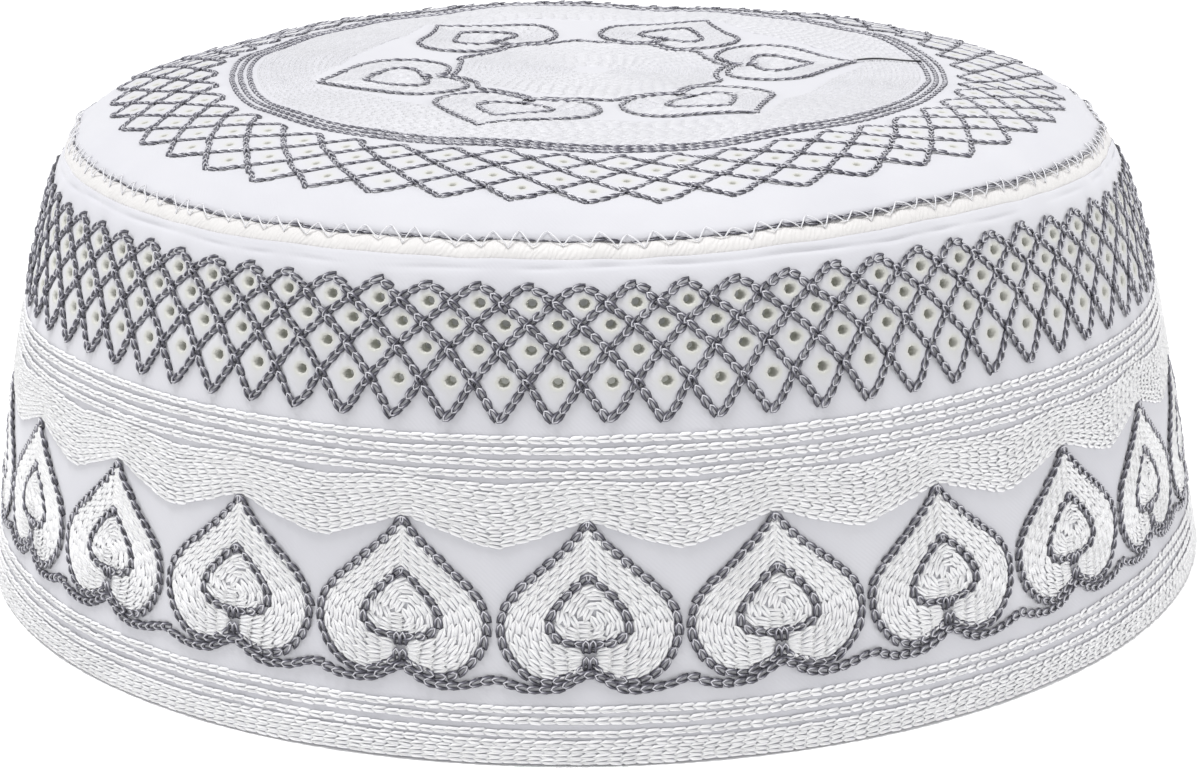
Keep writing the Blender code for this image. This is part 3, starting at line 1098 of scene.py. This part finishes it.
# The seam: a lumpy welt with its overcast wraps, a dark row in the valley and a white zigzag over all
WELT_FROM = 64.7 * MM
WELT_TO = 68.5 * MM
WELT_DEEP = 1.05 * MM
WELT_SIDES = 8
WELT_STEPS = 1200
WELT_LUMP = 0.22 * MM
WELT_LUMPS = (53, 151, 217, 289)        # how many lumps of each size go round it
WELT_UNEVEN = 0.05                      # how much its width differs, and how many steps a lump slants
WELT_SLANT = 3
WELT_TURNS = 700                        # how often the overcast thread goes round the welt
WELT_TWIST = 0.6
SEAM_ROW_AT = 68.25 * MM
SEAM_ROW_SUNK = -0.50 * MM
SEAM_ROW_BOLD = 0.05 * MM
SEAM_ROW_BOLDEST = math.radians(60)     # where the dark row lies highest
SEAM_ROW_EASE = (0.62, 0.92)            # cosines of the angle from there between which it rises
SEAM_ROW_DIPS = (Wave(97, 0.0, 0.12 * MM, 0.0), Wave(61, 0.0, 0.12 * MM, 1.0))
ZIGZAG_STITCHES = 146
ZIGZAG_LOW = 67.1 * MM
ZIGZAG_HIGH = 69.0 * MM
ZIGZAG_THREAD = 0.10 * MM
ZIGZAG_POINTS = 8                       # to a stitch
ZIGZAG_CLIMB = 0.35                     # the share of a stitch in which it climbs
ZIGZAG_STRAY_MM = 0.35                  # how far its upper points stray
ZIGZAG_STRAY_LOW = 1.2                  # and how much further its lower ones do
ZIGZAG_SLIP = 0.12
ZIGZAG_LIFT = (0.12 * MM, 0.30 * MM)    # its lift at the ends of a stitch, and how much more between them


def tube(name, points, outs, radius, sides, closed, material):
    """A round thread along points in space."""
    count = len(points)
    following = np.roll(points, -1, axis=0)
    before = np.roll(points, 1, axis=0)
    if not closed:
        following[-1], before[0] = points[-1], points[0]
    tangents = following - before
    tangents /= np.linalg.norm(tangents, axis=1)[:, None]
    aside = np.cross(outs, tangents)
    aside /= np.linalg.norm(aside, axis=1)[:, None]
    above = np.cross(tangents, aside)
    angles = FULL_TURN * np.arange(sides) / sides
    rings = (points[:, None] + radius * (np.cos(angles)[None, :, None] * aside[:, None]
                                         + np.sin(angles)[None, :, None] * above[:, None]))
    vertices = rings.reshape(-1, 3)
    faces = []
    for i in range(count if closed else count - 1):
        j = (i + 1) % count
        for side in range(sides):
            turned = (side + 1) % sides
            faces.append((i * sides + side, j * sides + side, j * sides + turned, i * sides + turned))
    if not closed:
        faces.append(tuple(range(sides))[::-1])
        faces.append(tuple((count - 1) * sides + s for s in range(sides)))
    return mesh_object(name, vertices, faces, material)


def make_seam_welt(materials):
    """The padded welt of overcast thread between the band and the crown, lumpy and uneven."""
    rng = random_for("welt")
    turn = np.arange(WELT_STEPS) * FULL_TURN / WELT_STEPS
    lumps = sum(rng.uniform(0.6, 1) * np.sin(n * turn + rng.uniform(0, 6.3))
                for n in WELT_LUMPS) / len(WELT_LUMPS)
    vertices = []
    for side in range(WELT_SIDES):
        angle = FULL_TURN * (side + 0.5) / WELT_SIDES
        reach = (WELT_TO - WELT_FROM) / 2 * math.cos(angle)
        distance = (WELT_FROM + WELT_TO) / 2 + reach * (1 + WELT_UNEVEN * lumps)
        slant = np.roll(lumps, round(WELT_SLANT * math.cos(angle)))
        lift = (math.sin(angle) - 1) * WELT_DEEP + WELT_LUMP * (0.5 + slant) * max(math.sin(angle), 0)
        vertices.append(place(turn, distance, lift))
    vertices = np.array(vertices)
    faces = []
    for side in range(WELT_SIDES):
        turned = (side + 1) % WELT_SIDES
        for i in range(WELT_STEPS):
            j = (i + 1) % WELT_STEPS
            corners = (side, i), (side, j), (turned, j), (turned, i)
            faces.append([a * WELT_STEPS + b for a, b in corners])
    piece = mesh_object("seam_welt", vertices.reshape(-1, 3), faces, materials["overcast_thread"])
    strand = piece.data.uv_layers.new(name="strand")
    span = WELT_TURNS / WELT_STEPS
    turns = [((i + over) * span, side + up) for side in range(WELT_SIDES) for i in range(WELT_STEPS)
             for over, up in ((0, 0), (1, 0), (1, 1), (0, 1))]
    strand.uv.foreach_set("vector", np.array(turns, np.float32).ravel() * WELT_TWIST)
    finish(piece, "crown_seam")


def make_seam_zigzag(materials):
    """The thin white thread that zigzags over the seam."""
    rng = random_for("zigzag")
    step = np.arange(ZIGZAG_STITCHES * ZIGZAG_POINTS) / ZIGZAG_POINTS
    phase = step % 1
    climbs = phase < ZIGZAG_CLIMB
    # The stitch climbs almost straight across and comes back slanting
    climb = np.where(climbs, phase / ZIGZAG_CLIMB, 1 - (phase - ZIGZAG_CLIMB) / (1 - ZIGZAG_CLIMB))
    stray = rng.uniform(-ZIGZAG_STRAY_MM, ZIGZAG_STRAY_MM, (ZIGZAG_STITCHES, 3))
    stray_high, stray_low, stray_on = np.repeat(stray, ZIGZAG_POINTS, axis=0).T
    turn = (step + np.where(climbs, 0, ZIGZAG_SLIP * stray_on)) * FULL_TURN / ZIGZAG_STITCHES
    high = ZIGZAG_HIGH + stray_high * MM
    low = ZIGZAG_LOW + stray_low * ZIGZAG_STRAY_LOW * MM
    distance = low + (high - low) * climb
    lift = ZIGZAG_LIFT[0] + ZIGZAG_LIFT[1] * np.sin(np.pi * np.clip(climb, 0, 1)) ** 0.7
    points = place(turn, distance, lift)
    outs = outward(turn, distance)
    # The tube has no painted highlight values, so it takes the white thread's edge colour, its painted shade.
    piece = tube("seam_zigzag", points, outs, ZIGZAG_THREAD, 4, True, materials["white_thread"])
    finish(piece)


TRAVEL_RADII_MM = (41.0, 51.5)
TRAVEL_LIFT = 0.40 * MM
TRAVEL_THREAD = 0.15 * MM
TRAVEL_POINTS = 24
TRAVEL_HEART = 2                        # the crown heart whose tip it leaves
TRAVEL_SWAY = 0.02


def make_travel_thread(material):
    """The loose thread that runs from a heart's tip out to the dark ring."""
    distance = distance_at(np.linspace(*TRAVEL_RADII_MM, TRAVEL_POINTS) * MM)
    sway = TRAVEL_SWAY * np.sin(np.linspace(0, 5, TRAVEL_POINTS))
    turn = math.radians(CROWN_HEARTS[TRAVEL_HEART].turn) + sway
    points = place(turn, distance, TRAVEL_LIFT)
    # The tube has no painted highlight values, so it takes the blue-grey thread's darkest colour, the painted
    # shade of its folds, all along.
    piece = tube("travel_thread", points, outward(turn, distance), TRAVEL_THREAD, 6, False, material)
    finish(piece)


# A kind of row: its stitch, its thread, its slot, and how much its stitches differ from each other
Kind = namedtuple("Kind", "stitch thread slot unevenness")
KINDS = {
    "white row": Kind(ROW_STITCH, "white_thread", "white_thread", 0.10),
    "white filling": Kind(FILL_STITCH, "white_thread", "white_thread", 0.10),
    # The crown's flat rows take the darker copy of the white thread, with painted shade.
    "flat row": Kind(CROWN_STITCH, "shaded_white_thread", "white_thread", 0.07),
    "dark line": Kind(DARK_STITCH, "dark_thread", "dark_thread", 0.10),
    "fine line": Kind(FINE_DARK_STITCH, "dark_thread", "dark_thread", 0.10),
    "seam line": Kind(SEAM_STITCH, "dark_thread", "dark_thread", 0.07),
}


def crown_rings(radii_mm, rng):
    """Rows round the crown, drawn a little into the cloth."""
    return [ring_row(float(distance_at(r * MM)), rng, lift=-SUNK) for r in radii_mm]


def hearts(name, centres, lay, lay_outline):
    """The white rows and the dark outlines of some hearts, each about its centre."""
    filling, outlines = [], []
    for number, centre in enumerate(centres):
        filling += heart_filling(lay, centre, random_for("%s%d" % (name, number)))
        outlines += heart_outlines(lay_outline, centre, random_for("%s%d" % (name, number)))
    return filling, outlines


def make_embroidery(materials, tree):
    """Every chain-stitched piece."""
    loops = {kind: make_loop(kind.replace(" ", "_"), row.stitch) for kind, row in KINDS.items()}

    def stitch(name, kind, lines):
        sew(name, lines, KINDS[kind], loops[kind], materials[KINDS[kind].thread], tree)

    rng = random_for("rows")
    stitch("edge_rows", "white row", [ring_row(d * MM, rng) for d in EDGE_ROWS_MM])
    stitch("plain_rows", "white row", [ring_row(d * MM, rng) for d in PLAIN_ROWS_MM])
    stitch("scalloped_rows", "white row", scallop_lines(rng))
    band_hearts = [FIRST_HEART + HEART_TURN * heart for heart in range(HEARTS)]
    filling, outlines = hearts("heart", band_hearts, on_band, on_band)
    stitch("heart_filling", "white filling", filling)
    stitch("heart_outlines", "dark line", outlines + [garland_line()])
    stitch("side_lattice", "dark line", zigzag_lines(SIDE_LATTICE, lattice_levels(SIDE_LATTICE)))
    stitch("crown_lattice", "fine line", zigzag_lines(CROWN_LATTICE, lattice_levels(CROWN_LATTICE)))
    stitch("dark_ring", "fine line", crown_rings(DARK_RING_MM, rng))
    stitch("seam_row", "seam line", [seam_line(rng)])
    filling, outlines = hearts("crown", CROWN_HEARTS, on_crown, over_crown)
    stitch("crown_heart_filling", "flat row", filling)
    stitch("crown_heart_outlines", "fine line", outlines + [crown_garland_line()])
    make_travel_thread(materials["dark_thread"])
    stitch("crown_rows", "flat row", crown_rings(CROWN_ROWS_MM, rng) + crown_lobe_lines())
    stitch("crown_middle", "flat row", crown_rings(MIDDLE_ROWS_MM, rng))
    for loop in loops.values():
        bpy.data.objects.remove(loop)


# The view, as the photograph has it: in shares of the rim's radius, and in radians
VIEW_BACK = 3.8688
VIEW_UP = 1.4378
VIEW_PITCH = 0.3068
VIEW_YAW = 0.0032
VIEW_ROLL = -0.017
VIEW_FOCAL = 2401.4 / 1200              # in shares of the picture's width
SENSOR = 36.0


def make_camera():
    """The camera, at the photograph's angle."""
    data = bpy.data.cameras.new("camera")
    data.sensor_width = SENSOR
    data.lens = VIEW_FOCAL * SENSOR
    data.clip_start = 0.01
    data.clip_end = 20.0
    camera = add_object("camera", data)
    ahead = Vector((math.sin(VIEW_YAW) * math.cos(VIEW_PITCH), math.cos(VIEW_YAW) * math.cos(VIEW_PITCH),
                    -math.sin(VIEW_PITCH)))
    aside = Vector((math.cos(VIEW_YAW), -math.sin(VIEW_YAW), 0.0))
    above = aside.cross(ahead)
    right = math.cos(VIEW_ROLL) * aside + math.sin(VIEW_ROLL) * above
    top = -math.sin(VIEW_ROLL) * aside + math.cos(VIEW_ROLL) * above
    turned = Matrix((right, top, -ahead)).transposed().to_4x4()
    camera.matrix_world = Matrix.Translation((0, -VIEW_BACK * RIM_RADIUS, VIEW_UP * RIM_RADIUS)) @ turned
    bpy.context.scene.camera = camera


# A soft light: where it stands and what it faces, in metres, its size and its power
Lamp = namedtuple("Lamp", "name spot target size power")
LAMPS = (
    Lamp("left", (-1.2, -0.4, 0.45), (0, 0, 0.04), 0.3, 1.4),
    Lamp("right", (1.2, -0.4, 0.45), (0, 0, 0.04), 0.3, 2.3),
)
KEY_POWER = 2.5                         # the ceiling's broad light, in watts for each square metre
KEY_WIDTH = math.radians(24)
KEY_FROM = (-0.12, 0.0, 0.99)
# Light comes through thin cotton. A weak lamp in the hollow stands for it, so that the eyelets aren't black.
SHINE_THROUGH = 0.044
SHINE_SPOT = (0, 0, 0.035)
SHINE_RADIUS = 0.02
SHINE_COLOUR = "#F3F5E6"
AROUND = 0.585                          # how bright the even surrounding is


def add_light(name, kind, power, spot, ahead, **settings):
    """A light of a kind that stands at a spot and shines ahead."""
    data = bpy.data.lights.new(name, kind)
    data.energy = power
    for setting, value in settings.items():
        setattr(data, setting, value)
    made = add_object(name, data)
    made.location = spot
    made.rotation_euler = ahead.to_track_quat("-Z", "Y").to_euler()
    return made


def make_stage():
    """A pale floor, soft lamps and an even pale surrounding."""
    floor = mesh_object("floor", [(-9, -9, 0), (9, -9, 0), (9, 9, 0), (-9, 9, 0)], [(0, 1, 2, 3)])
    material, _, shader = start_material("pale_floor", 0.9, 0.0, "#FFFFFF", 0.2)
    shader.inputs["Base Color"].default_value = linear("#FCFCFC")
    floor.data.materials.append(material)
    for lamp in LAMPS:
        ahead = Vector(lamp.target) - Vector(lamp.spot)
        add_light(lamp.name, "AREA", lamp.power, lamp.spot, ahead, shape="DISK", size=lamp.size)
    add_light("ceiling", "SUN", KEY_POWER, (0, 0, 0), -Vector(KEY_FROM), angle=KEY_WIDTH)
    glow = add_light("shine_through", "POINT", SHINE_THROUGH, SHINE_SPOT, Vector((0, 0, -1)),
                     shadow_soft_size=SHINE_RADIUS, color=linear(SHINE_COLOUR)[:3])
    glow.visible_camera = False
    world = bpy.data.worlds.new("studio")
    world.use_nodes = True
    background = world.node_tree.nodes["Background"]
    background.inputs["Color"].default_value = linear("#FFFFFF")
    background.inputs["Strength"].default_value = AROUND
    bpy.context.scene.world = world
    bpy.context.scene.view_settings.view_transform = "Standard"


materials = make_materials()
make_band_cloth(materials)
make_crown_cloth(materials)
make_seam_welt(materials)
make_seam_zigzag(materials)
stitches = stitch_tree()
make_embroidery(materials, stitches)
make_camera()
make_stage()
